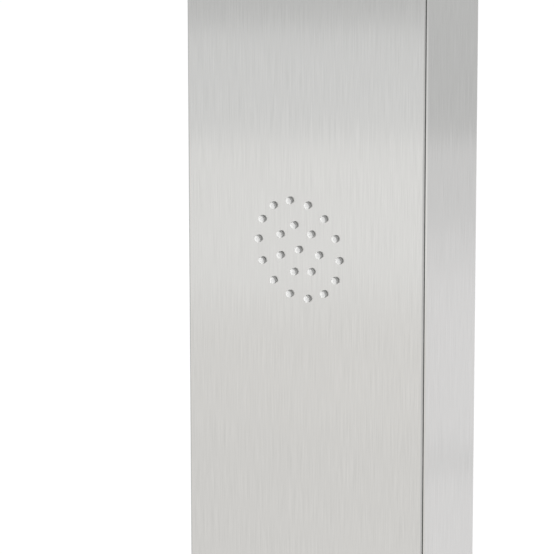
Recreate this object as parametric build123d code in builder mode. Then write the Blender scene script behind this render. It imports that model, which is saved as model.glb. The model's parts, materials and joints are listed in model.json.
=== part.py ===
from build123d import *
from math import cos, pi, radians, sin
import os

# An outdoor shower: a free-standing column of folded stainless steel sheet, with two round
# fields of soft spray nozzles in its front, a mixer and a diverter on one plate, a foot tap
# near the ground, and a square overhead head on an arm. All sizes are in millimetres.
# X runs to the right, the column faces -Y and Z is up. The origin is the centre of the base
# plate's underside. "Out" is the distance in front of the column's middle plane, towards -Y.

os.makedirs("parts", exist_ok=True)

# The column
column_width = 200.0
column_depth = 55.0
column_top = 2150.0
sheet = 1.5
fold_radius = 2.0
seam_gap = 1.1
return_flange = 14.0
face_out = column_depth / 2
inside_out = face_out - sheet

# The base plate, and the sleeve and socket in which the column stands
base_width = 300.0
base_depth = 260.0
base_thickness = 10.0
base_corner = 12.0
base_chamfer = 1.0
anchor_spacing_x = 250.0
anchor_spacing_y = 210.0
anchor_hole_radius = 5.5
supply_opening = (150.0, 34.0)
supply_opening_centre = (-5.0, 6.0)
sleeve_top = 74.6
sleeve_gap = 0.4
shell_bottom = sleeve_top + sleeve_gap
socket_top = 122.0
socket_screw_z = 110.0
socket_wall = 3.0
bracket_wall = 2.0
bracket_height = 30.0
inner_corner = 1.5
inner_width = column_width - 2 * (seam_gap + 2 * sheet)
inner_depth = column_depth - 2 * sheet
cap_skirt = 12.0

# Heights of the fittings, which stand on one upright line
fittings_x = -5.6
foot_tap_z = 260.0
mixer_z = 920.0
diverter_z = 1040.0
lower_spray_z = 1240.0
upper_spray_z = 1560.0
arm_z = 2080.0
bracket_heights = (520.0, 800.0, 1140.0, 1400.0, 1800.0)

# A spray field: 14 nozzles on the outer ring, 7 on a ring of half its size and one in the middle
outer_ring = 33.9
inner_ring = outer_ring / 2
nozzle_hole = 2.5
nozzle_root = 2.42
nozzle_tip = 2.3
nozzle_reach = 2.2
nozzle_crown = 0.6
nozzle_rim_round = 0.25
nozzle_bore = 1.3
nozzle_orifice = 0.2
nozzle_end_wall = 1.2
mat_radius = 44.0
mat_thickness = 2.0
chamber_radius = 41.0
chamber_wall = 3.0
chamber_back = 0.5
chamber_flange = 53.0
chamber_flange_thickness = 4.0
chamber_inlet_offset = -28.0
chamber_inlet_radius = 9.5
chamber_inlet_back = -19.5
chamber_inlet_socket = 7.0
stud_ring = 48.0
stud_radius = 2.0
stud_end = 12.0
stud_nut_radius = 4.0
stud_nut_height = 3.2
stud_clearance = 0.25

# Pipes of 15 mm outer diameter, soldered into sockets
pipe_radius = 7.5
pipe_bore = 6.5
pipe_out = -10.0
pipe_offset = 57.0
hot_x = fittings_x - pipe_offset
cold_x = fittings_x + pipe_offset
solder_gap = 0.05
socket_radius = pipe_radius + solder_gap
socket_depth = 10.0
joint_radius = 9.5
joint_reach = 18.0
socket_floor = joint_reach - socket_depth
port_reach = 34.0
port_floor = port_reach - socket_depth
grommet_neck = 9.5
grommet_flange = 11.5
grommet_lip = 2.0

# The inlet couplings, with a G1/2 inside thread that opens downwards
inlet_bottom = 58.0
inlet_thread_radius = 9.3
inlet_thread_length = 14.0
inlet_body_radius = 12.5
inlet_shoulder = 84.0
inlet_shelf_thickness = 3.0
inlet_neck_radius = 9.9
inlet_top = 104.0

# The control plate
plate_width = 84.0
plate_height = 224.0
plate_corner = 14.0
plate_thickness = 4.0
gasket_thickness = 1.0
gasket_inset = 2.0
neck_clearance = 1.0
plate_back = face_out + gasket_thickness
plate_front = plate_back + plate_thickness
plate_z = (mixer_z + diverter_z) / 2

# The mixer, whose handle turns about the line out of the column and lifts about a pin at its pivot
valve_back = -22.0
valve_radius = 24.0
mixer_neck = 19.0
neck_front = plate_front + 3.5
pivot_out = plate_front + 6.0
dome_radius = 24.0
dome_wall = 2.0
dome_opening = 34.0
handle_gap = 0.4
handle_rim = 58.0
handle_radius = 23.5
handle_front = 33.5
handle_edge = 2.5
handle_closed_tilt = 12.5
lever_length = 78.0
lever_root = 12.0
lever_widths = (18.0, 12.0)
lever_back = 24.5
lever_front = 31.5
lever_end_round = 5.0
cartridge_radius = 12.5
cartridge_back = 6.0
cartridge_front = 28.0
cartridge_nut_radius = 16.0
cartridge_port_depth = 5.0
end_gap = 0.3
collar_shank = 8.0
collar_back = 14.3
collar_radius = 10.0
collar_front = 44.0
collar_slot = 8.2
lift_pin_radius = 2.0
stem_width = 8.0
stem_tip = 28.2
stem_tail = 5.0
stem_swing = 1.5
stem_round = 3.4
stem_bore_back = 16.0
running_gap = 0.05

# The diverter
diverter_valve_radius = 22.0
diverter_neck = 14.0
diverter_cartridge_radius = 10.0
spindle_radius = 4.0
knob_radius = 19.0
knob_back = plate_front + 0.6
knob_disc = 45.0
knob_front = 57.0
knob_bar = 10.0

# Threaded spigots that carry the arm and the foot tap through the front wall
spigot_radius = 10.5
spigot_bore = 5.5
spigot_front = 45.0
spigot_clearance = 0.5
spigot_nut_radius = 16.0
spigot_nut_height = 8.0
backing_thickness = 3.0
backing_size = (90.0, 64.0)
backing_corner = 6.0

# The foot tap
tap_radius = 13.0
tap_front = 82.0
tap_rosette_radius = 28.0
tap_rosette_front = 33.5
spout_out = 62.0
spout_radius = 9.0
spout_bore = 7.0
spout_end = foot_tap_z - 45.0
aerator_radius = 11.0
aerator_bottom = spout_end - 6.0
aerator_top = spout_end + 6.0
tap_handle_back = 87.0
tap_handle_front = 106.0
tap_handle_radius = 12.0
tap_lever_length = 52.0
tap_lever_width = 12.0

# The overhead arm and its head
arm_width = 36.0
arm_height = 22.0
arm_wall = 2.0
arm_length = 400.0
arm_front = face_out + arm_length
arm_root_block = 20.0
arm_end_block = 48.0
head_out = arm_front - 27.5
head_size = 200.0
head_height = 9.0
head_corner = 12.0
ball_z = arm_z - arm_height / 2 - 30.0
ball_radius = 11.0
ball_stem_radius = 6.0
liner_outer = 13.0
head_top = ball_z - 20.0
head_bottom = head_top - head_height
head_nozzles = 10
head_nozzle_pitch = 18.0
head_nozzle_hole = 2.2
head_nozzle_reach = 2.5
head_mat = 176.0
head_screw_place = 90.0
cut = Mode.SUBTRACT

FORWARD = (0, -1, 0)
BACK = (0, 1, 0)
UP = (0, 0, 1)
DOWN = (0, 0, -1)
LEFT = (-1, 0, 0)
RIGHT = (1, 0, 0)


def place(z, out=0.0, x=fittings_x):
    """A point of the shower, from its height and its distance out."""
    return (x, -out, z)


def facing(origin, way=FORWARD):
    """A sketch plane square to a way out of the column, with its x along X."""
    return Plane(origin, x_dir=RIGHT, z_dir=way)


def lathe(origin, way=FORWARD):
    """A plane for turned outlines: its x is the radius and its y the distance along the way."""
    return Plane(origin, x_dir=RIGHT, z_dir=Vector(RIGHT).cross(Vector(way)))


def turn(origin, *steps, way=FORWARD, mode=Mode.ADD):
    """Adds to the part, or cuts from it, a turned shape of steps (radius, from, to)."""
    points = [(0, steps[0][1])]
    for radius, start, end in steps:
        points += [(radius, start), (radius, end)]
    points.append((0, steps[-1][2]))
    with BuildSketch(lathe(origin, way)) as outline:
        Polygon(*points, align=None)
    revolve(outline.sketch, axis=Axis(origin, way), mode=mode)


def nozzle_places(height):
    """The centres of a field's nozzles, as x and z, on the front of the column."""
    rings = ((0.0, 1), (inner_ring, 7), (outer_ring, 14))
    return [
        (fittings_x + radius * cos(2 * pi * k / count), height + radius * sin(2 * pi * k / count))
        for radius, count in rings
        for k in range(count)
    ]


def stud_places(height):
    """The centres of the four studs round a field, as x and z."""
    step = stud_ring * cos(radians(45))
    return [(fittings_x + side * step, height + level * step) for side in (-1, 1) for level in (-1, 1)]


def shell_outline(turned_round):
    """The points of one bent sheet in plan, front and left, or turned half round, back and right."""
    side = -1 if turned_round else 1
    fold_x = column_width / 2 - sheet - seam_gap
    left_x = -column_width / 2
    points = [
        (fold_x, -face_out + return_flange),
        (fold_x, -face_out),
        (left_x, -face_out),
        (left_x, face_out),
        (left_x + sheet, face_out),
        (left_x + sheet, -inside_out),
        (fold_x - sheet, -inside_out),
        (fold_x - sheet, -face_out + return_flange),
    ]
    return [(side * x, side * y) for x, y in points]


fold_inner = fold_radius - sheet
shell_radii = [0, fold_radius, fold_radius, 0, 0, fold_inner, fold_inner, 0]
shell_height = column_top - sheet - shell_bottom
back_screw_x = 70.0
back_screw_radius = 2.5
back_screw_clearance = 0.25
back_screw_places = [
    (side * back_screw_x, height) for height in (socket_screw_z,) + bracket_heights for side in (-1, 1)
]


# The front sheet: the front wall, the left wall and a return flange at the right
with BuildPart() as front_shell:
    with BuildSketch(Plane.XY.offset(shell_bottom)):
        with BuildLine():
            FilletPolyline(*shell_outline(False), radius=shell_radii, close=True)
        make_face()
    extrude(amount=shell_height)
    with BuildSketch(facing((0, -face_out, 0))):
        with Locations(*nozzle_places(upper_spray_z), *nozzle_places(lower_spray_z)):
            Circle(nozzle_hole)
        with Locations((fittings_x, mixer_z)):
            Circle(mixer_neck + neck_clearance)
        with Locations((fittings_x, diverter_z)):
            Circle(diverter_neck + neck_clearance)
        with Locations((fittings_x, arm_z), (fittings_x, foot_tap_z)):
            Circle(spigot_radius + spigot_clearance)
    extrude(amount=-sheet, mode=cut)
front_shell.part.label = "front_shell"
export_step(front_shell.part, "parts/front_shell.step")

# The rear sheet: the same bend turned half round, with the screw holes in its back
with BuildPart() as rear_shell:
    with BuildSketch(Plane.XY.offset(shell_bottom)):
        with BuildLine():
            FilletPolyline(*shell_outline(True), radius=shell_radii, close=True)
        make_face()
    extrude(amount=shell_height)
    with BuildSketch(facing((0, face_out, 0))):
        with Locations(*back_screw_places):
            Circle(back_screw_radius + back_screw_clearance)
    extrude(amount=sheet, mode=cut)
rear_shell.part.label = "rear_shell"
export_step(rear_shell.part, "parts/rear_shell.step")

# The cap: a lid on the top edges, with a skirt inside them
with BuildPart() as top_cap:
    with BuildSketch(Plane.XY.offset(column_top - sheet)):
        RectangleRounded(column_width, column_depth, fold_radius)
    extrude(amount=sheet)
    with BuildSketch(Plane.XY.offset(column_top - sheet)):
        RectangleRounded(inner_width, inner_depth, inner_corner)
        Rectangle(inner_width - 2 * sheet, inner_depth - 2 * sheet, mode=cut)
    extrude(amount=-cap_skirt)
top_cap.part.label = "top_cap"
export_step(top_cap.part, "parts/top_cap.step")

# The base plate, with four anchor holes and the opening for the supply pipes
with BuildPart() as base_plate:
    with BuildSketch():
        RectangleRounded(base_width, base_depth, base_corner)
        with Locations(supply_opening_centre):
            RectangleRounded(*supply_opening, base_corner, mode=cut)
        with GridLocations(anchor_spacing_x, anchor_spacing_y, 2, 2):
            Circle(anchor_hole_radius, mode=cut)
    extrude(amount=base_thickness)
    chamfer(base_plate.faces().sort_by(Axis.Z)[-1].outer_wire().edges(), base_chamfer)
base_plate.part.label = "base_plate"
export_step(base_plate.part, "parts/base_plate.step")

# The sleeve: a low ring of the column's outline, welded on the base plate below its sheets
with BuildPart() as foot_sleeve:
    with BuildSketch(Plane.XY.offset(base_thickness)):
        RectangleRounded(column_width, column_depth, fold_radius)
        Rectangle(column_width - 2 * sheet, column_depth - 2 * sheet, mode=cut)
    extrude(amount=sleeve_top - base_thickness)
foot_sleeve.part.label = "foot_sleeve"
export_step(foot_sleeve.part, "parts/foot_sleeve.step")

# The socket: a ring welded on the base plate inside the sleeve, which the column's sheets stand
# round, with a shelf halfway up that carries the inlet couplings
with BuildPart() as foot_socket:
    with BuildSketch(Plane.XY.offset(base_thickness)):
        RectangleRounded(inner_width, inner_depth, inner_corner)
        Rectangle(inner_width - 2 * socket_wall, inner_depth - 2 * socket_wall, mode=cut)
    extrude(amount=socket_top - base_thickness)
    with BuildSketch(Plane.XY.offset(inlet_shoulder)):
        Rectangle(inner_width - 2 * socket_wall, inner_depth - 2 * socket_wall)
        with Locations(*[(x, -pipe_out) for x in (hot_x, cold_x)]):
            Circle(inlet_neck_radius + 2 * solder_gap, mode=cut)
    extrude(amount=inlet_shelf_thickness)
    with BuildSketch(facing((0, inside_out, 0))):
        with Locations(*back_screw_places[:2]):
            Circle(back_screw_radius)
    extrude(amount=socket_wall, mode=cut)
foot_socket.part.label = "foot_socket"
export_step(foot_socket.part, "parts/foot_socket.step")


def cross_bracket(height):
    """A folded tray across the column, which ties the two sheets and steadies the pipes."""
    with BuildPart() as bracket:
        with BuildSketch(Plane.XY.offset(height - bracket_height / 2)):
            RectangleRounded(inner_width, inner_depth, inner_corner)
        extrude(amount=bracket_height)
        with BuildSketch(Plane.XY.offset(height - bracket_height / 2)):
            Rectangle(inner_width - 2 * bracket_wall, inner_depth - 2 * bracket_wall)
        extrude(amount=bracket_height - bracket_wall, mode=cut)
        with BuildSketch(Plane.XY.offset(height)):
            with Locations(*[(x, -pipe_out) for x in (hot_x, fittings_x, cold_x)]):
                Circle(grommet_neck)
        extrude(amount=bracket_height / 2, mode=cut)
        with BuildSketch(facing((0, inside_out, 0))):
            with Locations((-back_screw_x, height), (back_screw_x, height)):
                Circle(back_screw_radius)
        extrude(amount=bracket_wall, mode=cut)
    return bracket.part


with BuildPart() as cross_brackets:
    for height in bracket_heights:
        add(cross_bracket(height))
cross_brackets.part.label = "cross_brackets"
export_step(cross_brackets.part, "parts/cross_brackets.step")

# Button-headed screws in the back
screw_head_radius = 4.75
screw_head_height = 2.7
screw_head_round = 1.6
screw_length = 10.0
screw_socket_radius = 1.6
screw_socket_depth = 1.6
with BuildPart() as one_screw:
    turn(
        (0, face_out, 0),
        (back_screw_radius, -screw_length, 0),
        (screw_head_radius, 0, screw_head_height),
        way=BACK,
    )
    fillet(one_screw.faces().sort_by(Axis.Y)[-1].edges(), screw_head_round)
    with BuildSketch(Plane((0, face_out + screw_head_height, 0), x_dir=RIGHT, z_dir=BACK)):
        RegularPolygon(screw_socket_radius, 6)
    extrude(amount=-screw_socket_depth, mode=cut)
with BuildPart() as back_screws:
    with Locations(*[(x, 0, z) for x, z in back_screw_places]):
        add(one_screw.part)
back_screws.part.label = "back_screws"
export_step(back_screws.part, "parts/back_screws.step")

# One nozzle of the spray mats: its outside with a low crown, and the bore that is cut from it
with BuildPart() as nozzle_outside:
    with BuildSketch(lathe((0, 0, 0))):
        tip_out = face_out + nozzle_reach
        rim_out = tip_out - nozzle_crown
        mat_back = inside_out - mat_thickness
        with BuildLine():
            Polyline(
                (0, tip_out),
                (0, mat_back),
                (nozzle_root, mat_back),
                (nozzle_root, face_out),
                (nozzle_tip, rim_out),
            )
            TangentArc((0, tip_out), (nozzle_tip, rim_out), tangent=(1, 0))
        make_face()
    revolve(axis=Axis((0, 0, 0), FORWARD))
    rim = nozzle_outside.edges().filter_by_position(Axis.Y, -tip_out, -face_out, (False, False))
    fillet(rim, nozzle_rim_round)
with BuildPart() as nozzle_passage:
    turn(
        (0, 0, 0),
        (nozzle_bore, mat_back, tip_out - nozzle_end_wall),
        (nozzle_orifice, tip_out - nozzle_end_wall, tip_out),
    )

# Each spray field: the soft mat, and the chamber that presses it to the wall and feeds it
for field, height in (("upper", upper_spray_z), ("lower", lower_spray_z)):
    nozzle_points = [(x, 0, z) for x, z in nozzle_places(height)]
    with BuildPart() as spray_mat:
        turn(place(height), (mat_radius, mat_back, inside_out))
        with Locations(*nozzle_points):
            add(nozzle_outside.part)
        with Locations(*nozzle_points):
            add(nozzle_passage.part, mode=cut)
    spray_mat.part.label = f"{field}_spray_mat"
    export_step(spray_mat.part, f"parts/{field}_spray_mat.step")

    flange_back = mat_back - chamber_flange_thickness
    inlet = (fittings_x + chamber_inlet_offset, 0, height)
    with BuildPart() as spray_chamber:
        turn(
            place(height),
            (chamber_radius, chamber_back, flange_back),
            (chamber_flange, flange_back, mat_back),
        )
        turn(inlet, (chamber_inlet_radius, chamber_inlet_back, chamber_back))
        turn(place(height), (chamber_radius - chamber_wall, chamber_back + chamber_wall, mat_back), mode=cut)
        turn(inlet, (pipe_bore, pipe_out, chamber_back + chamber_wall), mode=cut)
        with BuildSketch(Plane((inlet[0], -pipe_out, height), z_dir=LEFT)):
            Circle(pipe_bore)
        extrude(amount=chamber_inlet_radius, mode=cut)
        with BuildSketch(Plane((inlet[0] - chamber_inlet_radius, -pipe_out, height), z_dir=RIGHT)):
            Circle(socket_radius)
        extrude(amount=chamber_inlet_socket, mode=cut)
        with BuildSketch(facing((0, -mat_back, 0))):
            with Locations(*stud_places(height)):
                Circle(stud_radius + stud_clearance)
        extrude(amount=-chamber_flange_thickness, mode=cut)
    spray_chamber.part.label = f"{field}_spray_chamber"
    export_step(spray_chamber.part, f"parts/{field}_spray_chamber.step")

# Studs welded inside the front wall, and the nuts that hold the chambers on them
all_studs = [(x, 0, z) for x, z in stud_places(upper_spray_z) + stud_places(lower_spray_z)]
with BuildPart() as one_stud:
    turn((0, 0, 0), (stud_radius, stud_end, inside_out))
with BuildPart() as chamber_studs:
    with Locations(*all_studs):
        add(one_stud.part)
chamber_studs.part.label = "chamber_studs"
export_step(chamber_studs.part, "parts/chamber_studs.step")
with BuildPart() as one_nut:
    with BuildSketch(facing((0, -flange_back, 0))):
        RegularPolygon(stud_nut_radius, 6)
        Circle(stud_radius, mode=cut)
    extrude(amount=-stud_nut_height)
with BuildPart() as chamber_nuts:
    with Locations(*all_studs):
        add(one_nut.part)
chamber_nuts.part.label = "chamber_nuts"
export_step(chamber_nuts.part, "parts/chamber_nuts.step")


def pipe(start, end):
    """A straight length of pipe between two points."""
    run = Vector(*end) - Vector(*start)
    with BuildPart() as length:
        with BuildSketch(Plane(start, z_dir=run.normalized())):
            Circle(pipe_radius)
            Circle(pipe_bore, mode=cut)
        extrude(amount=run.length)
    return length.part


def pipe_joint(centre, *ways):
    """An elbow or a tee, with a soldered socket at the end of each arm."""
    with BuildPart() as joint:
        with Locations(centre):
            Sphere(joint_radius)
        for way in ways:
            with BuildSketch(Plane(centre, z_dir=way)):
                Circle(joint_radius)
            extrude(amount=joint_reach)
        for way in ways:
            with BuildSketch(Plane(centre, z_dir=way)):
                Circle(pipe_bore)
            extrude(amount=joint_reach, mode=cut)
            with BuildSketch(Plane(centre, z_dir=way).offset(socket_floor)):
                Circle(socket_radius)
            extrude(amount=socket_depth, mode=cut)
    return joint.part


def run_point(x, z):
    """A point on the plane that the pipes run in."""
    return (x, -pipe_out, z)


inlet_socket_floor = inlet_top - socket_depth
chamber_inlet_x = fittings_x + chamber_inlet_offset - chamber_inlet_radius + chamber_inlet_socket

with BuildPart() as hot_pipe:
    add(pipe(run_point(hot_x, inlet_socket_floor), run_point(hot_x, mixer_z - socket_floor)))
    add(pipe(run_point(hot_x + socket_floor, mixer_z), run_point(fittings_x - port_floor, mixer_z)))
hot_pipe.part.label = "hot_pipe"
export_step(hot_pipe.part, "parts/hot_pipe.step")

with BuildPart() as cold_pipe:
    add(pipe(run_point(cold_x, inlet_socket_floor), run_point(cold_x, foot_tap_z - socket_floor)))
    add(pipe(run_point(cold_x, foot_tap_z + socket_floor), run_point(cold_x, mixer_z - socket_floor)))
    add(pipe(run_point(cold_x - socket_floor, mixer_z), run_point(fittings_x + port_floor, mixer_z)))
    add(pipe(run_point(cold_x - socket_floor, foot_tap_z), run_point(fittings_x + socket_floor, foot_tap_z)))
cold_pipe.part.label = "cold_pipe"
export_step(cold_pipe.part, "parts/cold_pipe.step")

with BuildPart() as mixed_water_pipe:
    add(pipe(run_point(fittings_x, mixer_z + port_floor), run_point(fittings_x, diverter_z - port_floor)))
    add(pipe(run_point(fittings_x, diverter_z + port_floor), run_point(fittings_x, arm_z - socket_floor)))
mixed_water_pipe.part.label = "mixed_water_pipe"
export_step(mixed_water_pipe.part, "parts/mixed_water_pipe.step")

with BuildPart() as spray_pipe:
    add(pipe(run_point(fittings_x - port_floor, diverter_z), run_point(hot_x + socket_floor, diverter_z)))
    add(pipe(run_point(hot_x, diverter_z + socket_floor), run_point(hot_x, lower_spray_z - socket_floor)))
    add(pipe(run_point(hot_x, lower_spray_z + socket_floor), run_point(hot_x, upper_spray_z - socket_floor)))
    for height in (lower_spray_z, upper_spray_z):
        add(pipe(run_point(hot_x + socket_floor, height), run_point(chamber_inlet_x, height)))
spray_pipe.part.label = "spray_pipe"
export_step(spray_pipe.part, "parts/spray_pipe.step")

with BuildPart() as pipe_elbows:
    add(pipe_joint(run_point(hot_x, mixer_z), DOWN, RIGHT))
    add(pipe_joint(run_point(cold_x, mixer_z), DOWN, LEFT))
    add(pipe_joint(run_point(hot_x, diverter_z), RIGHT, UP))
    add(pipe_joint(run_point(hot_x, upper_spray_z), DOWN, RIGHT))
    add(pipe_joint(run_point(fittings_x, arm_z), DOWN, FORWARD))
    add(pipe_joint(run_point(fittings_x, foot_tap_z), RIGHT, FORWARD))
pipe_elbows.part.label = "pipe_elbows"
export_step(pipe_elbows.part, "parts/pipe_elbows.step")

with BuildPart() as pipe_tees:
    add(pipe_joint(run_point(cold_x, foot_tap_z), DOWN, UP, LEFT))
    add(pipe_joint(run_point(hot_x, lower_spray_z), DOWN, UP, RIGHT))
pipe_tees.part.label = "pipe_tees"
export_step(pipe_tees.part, "parts/pipe_tees.step")

# Rubber grommets where the pipes pass the brackets
grommet_places = [(x, 0, height) for height in bracket_heights[:2] for x in (hot_x, cold_x)]
grommet_places += [(x, 0, height) for height in bracket_heights[2:4] for x in (hot_x, fittings_x)]
grommet_places += [(fittings_x, 0, bracket_heights[4])]
grommet_half = bracket_wall / 2 + grommet_lip
with BuildPart() as one_grommet:
    turn(
        (0, -pipe_out, bracket_height / 2 - bracket_wall / 2),
        (grommet_flange, -grommet_half, -bracket_wall / 2),
        (grommet_neck, -bracket_wall / 2, bracket_wall / 2),
        (grommet_flange, bracket_wall / 2, grommet_half),
        way=UP,
    )
    turn(
        (0, -pipe_out, bracket_height / 2),
        (pipe_radius, -2 * grommet_half, 2 * grommet_half),
        way=UP,
        mode=cut,
    )
with BuildPart() as pipe_grommets:
    with Locations(*grommet_places):
        add(one_grommet.part)
pipe_grommets.part.label = "pipe_grommets"
export_step(pipe_grommets.part, "parts/pipe_grommets.step")

# The couplings, their nuts and the check valves inside them
valve_seat = inlet_bottom + inlet_thread_length
check_valve_top = valve_seat + 14.0
check_valve_bore = 3.5
coupling_nut_radius = 12.4
coupling_nut_height = 5.0
with BuildPart() as inlet_couplings:
    for x in (hot_x, cold_x):
        upright = (x, -pipe_out, 0)
        with BuildSketch(Plane(upright).offset(inlet_bottom)):
            RegularPolygon(inlet_body_radius, 6, major_radius=False)
        extrude(amount=inlet_shoulder - inlet_bottom)
        turn(upright, (inlet_neck_radius, inlet_shoulder, inlet_top), way=UP)
        turn(upright, (inlet_thread_radius, inlet_bottom, valve_seat), way=UP, mode=cut)
        turn(upright, (pipe_bore, valve_seat, inlet_socket_floor), way=UP, mode=cut)
        turn(upright, (socket_radius, inlet_socket_floor, inlet_top), way=UP, mode=cut)
inlet_couplings.part.label = "inlet_couplings"
export_step(inlet_couplings.part, "parts/inlet_couplings.step")
with BuildPart() as coupling_nuts:
    with BuildSketch(Plane.XY.offset(inlet_shoulder + inlet_shelf_thickness)):
        with Locations(*[(x, -pipe_out) for x in (hot_x, cold_x)]):
            RegularPolygon(coupling_nut_radius, 6)
            Circle(inlet_neck_radius, mode=cut)
    extrude(amount=coupling_nut_height)
coupling_nuts.part.label = "coupling_nuts"
export_step(coupling_nuts.part, "parts/coupling_nuts.step")
with BuildPart() as check_valves:
    with BuildSketch(Plane.XY.offset(valve_seat)):
        with Locations(*[(x, -pipe_out) for x in (hot_x, cold_x)]):
            Circle(pipe_bore - solder_gap)
            Circle(check_valve_bore, mode=cut)
    extrude(amount=check_valve_top - valve_seat)
check_valves.part.label = "check_valves"
export_step(check_valves.part, "parts/check_valves.step")

# The control plate and its gasket
with BuildPart() as control_gasket:
    with BuildSketch(facing(place(plate_z, face_out))):
        RectangleRounded(
            plate_width - 2 * gasket_inset,
            plate_height - 2 * gasket_inset,
            plate_corner - gasket_inset,
        )
        with Locations((0, mixer_z - plate_z)):
            Circle(mixer_neck + neck_clearance, mode=cut)
        with Locations((0, diverter_z - plate_z)):
            Circle(diverter_neck + neck_clearance, mode=cut)
    extrude(amount=gasket_thickness)
control_gasket.part.label = "control_gasket"
export_step(control_gasket.part, "parts/control_gasket.step")

mark_radius = 1.6
mark_depth = 0.6
mark_ring = 29.0
diverter_turn = 60.0
with BuildPart() as control_plate:
    with BuildSketch(facing(place(plate_z, plate_back))):
        RectangleRounded(plate_width, plate_height, plate_corner)
        with Locations((0, mixer_z - plate_z)):
            Circle(mixer_neck + neck_clearance / 2, mode=cut)
        with Locations((0, diverter_z - plate_z)):
            Circle(diverter_neck + neck_clearance / 2, mode=cut)
    extrude(amount=plate_thickness)
    fillet(control_plate.faces().sort_by(Axis.Y)[0].outer_wire().edges(), 1.2)
    with BuildSketch(facing(place(diverter_z, plate_front))):
        for angle in (90 - diverter_turn, 90, 90 + diverter_turn):
            with Locations((mark_ring * cos(radians(angle)), mark_ring * sin(radians(angle)))):
                Circle(mark_radius)
    extrude(amount=-mark_depth, mode=cut)
control_plate.part.label = "control_plate"
export_step(control_plate.part, "parts/control_plate.step")


def valve_ports(centre, *ways, mode=Mode.ADD):
    """The pipe ports of a valve body: their outsides, or with the cut mode their bores."""
    for way in ways:
        port = Plane(centre, z_dir=way)
        with BuildSketch(port) as outside:
            Circle(joint_radius if mode == Mode.ADD else pipe_bore)
        extrude(outside.sketch, amount=port_reach, mode=mode)
        if mode == cut:
            with BuildSketch(port.offset(port_floor)) as socket:
                Circle(socket_radius)
            extrude(socket.sketch, amount=socket_depth, mode=mode)


# The mixer's brass body, with its cartridge and the nut over it
mixer_centre = place(mixer_z, pipe_out)
mixer_port_radius = 2.6
with BuildPart() as mixer_body:
    turn(place(mixer_z), (valve_radius, valve_back, inside_out), (mixer_neck, inside_out, neck_front))
    valve_ports(mixer_centre, LEFT, RIGHT, UP)
    valve_ports(mixer_centre, LEFT, RIGHT, UP, mode=cut)
    turn(place(mixer_z), (pipe_bore, pipe_out, cartridge_back), mode=cut)
    turn(place(mixer_z), (cartridge_radius + running_gap, cartridge_back, cartridge_front), mode=cut)
    turn(place(mixer_z), (cartridge_nut_radius, cartridge_front, neck_front), mode=cut)
mixer_body.part.label = "mixer_body"
export_step(mixer_body.part, "parts/mixer_body.step")

with BuildPart() as mixer_cartridge:
    turn(place(mixer_z), (cartridge_radius, cartridge_back, cartridge_front))
    turn(place(mixer_z), (collar_shank + running_gap, collar_back - end_gap, cartridge_front), mode=cut)
    with BuildSketch(facing(place(mixer_z, cartridge_back))):
        with PolarLocations(cartridge_radius / 2, 3):
            Circle(mixer_port_radius)
    extrude(amount=cartridge_port_depth, mode=cut)
mixer_cartridge.part.label = "mixer_cartridge"
export_step(mixer_cartridge.part, "parts/mixer_cartridge.step")

with BuildPart() as cartridge_nut:
    turn(place(mixer_z), (cartridge_nut_radius, cartridge_front, neck_front))
    turn(place(mixer_z), (collar_radius + neck_clearance / 2, cartridge_front, neck_front), mode=cut)
cartridge_nut.part.label = "cartridge_nut"
export_step(cartridge_nut.part, "parts/cartridge_nut.step")

# The dome: a hollow ball screwed on the neck, open in front where the stem comes out
pivot = place(mixer_z, pivot_out)
dome_base = plate_front - pivot_out
dome_inside = dome_radius - dome_wall
opening_angle = radians(90 - dome_opening)
with BuildPart() as mixer_dome:
    with BuildSketch(lathe(pivot)):
        with BuildLine():
            Polyline((mixer_neck + running_gap, dome_base), (dome_radius, dome_base), (dome_radius, 0))
            CenterArc((0, 0), dome_radius, 0, 90 - dome_opening)
            Line(
                (dome_radius * cos(opening_angle), dome_radius * sin(opening_angle)),
                (dome_inside * cos(opening_angle), dome_inside * sin(opening_angle)),
            )
            CenterArc((0, 0), dome_inside, 90 - dome_opening, dome_opening - 90)
            Polyline(
                (dome_inside, 0),
                (dome_inside, neck_front - pivot_out),
                (mixer_neck + running_gap, neck_front - pivot_out),
                (mixer_neck + running_gap, dome_base),
            )
        make_face()
    revolve(axis=Axis(pivot, FORWARD))
mixer_dome.part.label = "mixer_dome"
export_step(mixer_dome.part, "parts/mixer_dome.step")

# The collar turns in the cartridge and carries the lift pin across its fork
with BuildPart() as cartridge_collar:
    turn(
        place(mixer_z),
        (collar_shank, collar_back, cartridge_front + end_gap),
        (collar_radius, cartridge_front + end_gap, collar_front),
    )
    with BuildSketch(facing(place(mixer_z, pivot_out - stem_tail - stem_swing))):
        Rectangle(collar_slot, 3 * collar_radius)
    extrude(amount=collar_radius * 2, mode=cut)
    with BuildSketch(Plane(pivot, z_dir=RIGHT)):
        Circle(lift_pin_radius)
    extrude(amount=collar_radius, both=True, mode=cut)
cartridge_collar.part.label = "cartridge_collar"
export_step(cartridge_collar.part, "parts/cartridge_collar.step")

with BuildPart() as lift_pin:
    with BuildSketch(Plane(pivot, z_dir=RIGHT)):
        Circle(lift_pin_radius)
    extrude(amount=collar_radius - end_gap, both=True)
lift_pin.part.label = "lift_pin"
export_step(lift_pin.part, "parts/lift_pin.step")

# The stem and the handle, made in the closed position, tipped down about the lift pin
tilt = radians(handle_closed_tilt)
handle_way = (0, -cos(tilt), -sin(tilt))
handle_plane = facing(pivot, handle_way)
handle_screw_radius = 1.6
handle_screw_seat = 30.0
handle_screw_head = 3.5
handle_plug_radius = 5.0
handle_plug_back = 32.2

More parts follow.
